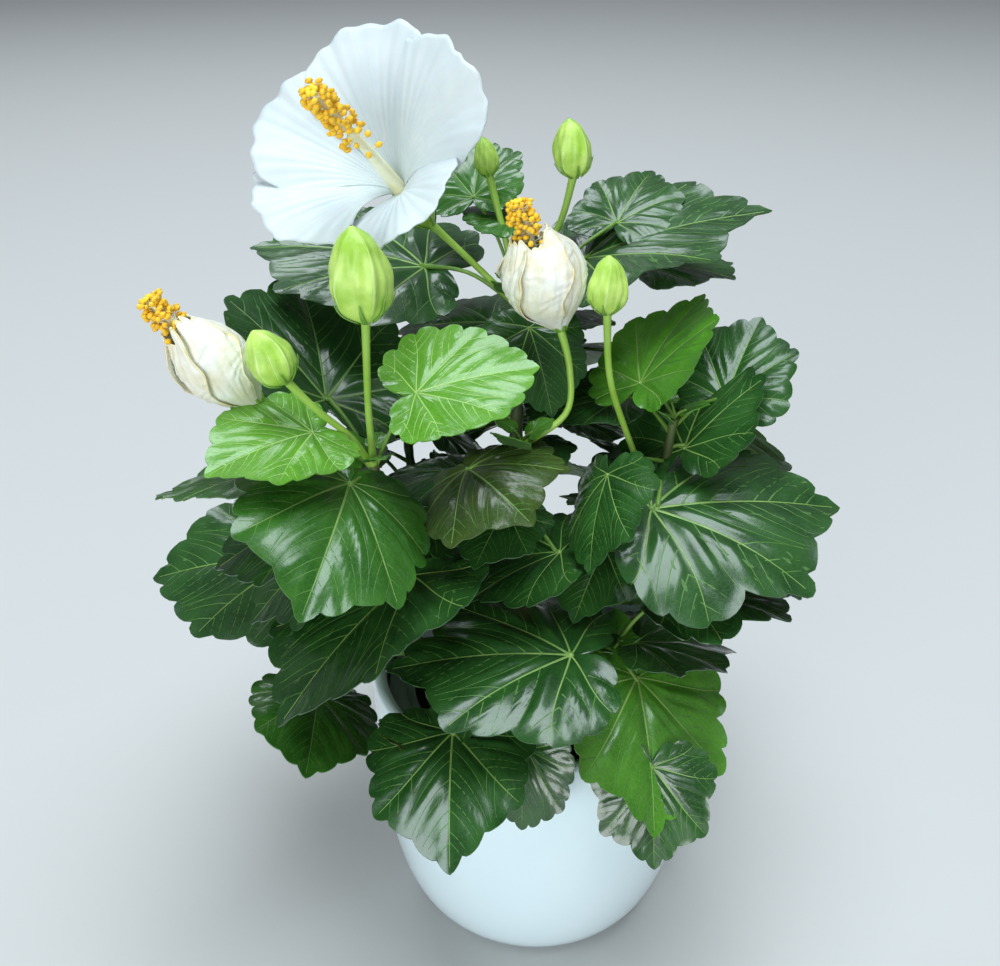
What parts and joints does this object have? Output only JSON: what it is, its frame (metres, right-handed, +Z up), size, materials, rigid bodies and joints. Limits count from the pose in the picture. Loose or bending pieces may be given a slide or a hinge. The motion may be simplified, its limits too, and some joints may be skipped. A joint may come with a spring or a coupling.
{
  "type": "potted hibiscus shrub",
  "caption": "Flowering hibiscus shrub with glossy lobed leaves, an open white bloom, furled blooms and buds, rooted in soil in a round white pot with a rolled rim.",
  "frame": {"origin": "centre of the pot's flat underside", "axes": "+Z up along the pot's axis; -Y towards the side that the open bloom faces; +X to the right when seen from that side"},
  "size_m": [0.3293, 0.2976, 0.4449],
  "materials": {
    "pot": "gloss",
    "liner": "matte",
    "soil": "matte",
    "bark": "matte",
    "leaves": "gloss"
  },
  "bodies": {
    "root": {"pot": "pot", "liner": "liner", "soil": "soil", "trunk": "bark", "bough_left": "bark", "bough_front_left": "bark", "bough_front": "bark", "bough_front_right": "bark", "bough_right": "bark", "bough_middle": "bark", "bough_centre": "bark", "bough_back_left": "bark", "bough_back": "bark", "bough_back_right": "bark", "leaves_left": "leaves", "leaves_front_left": "leaves", "leaves_front": "leaves", "leaves_front_right": "leaves", "leaves_right": "leaves", "leaves_middle": "leaves", "leaves_centre": "leaves", "leaves_back_left": "leaves", "leaves_back": "leaves", "leaves_back_right": "leaves"}
  },
  "joints": []
}
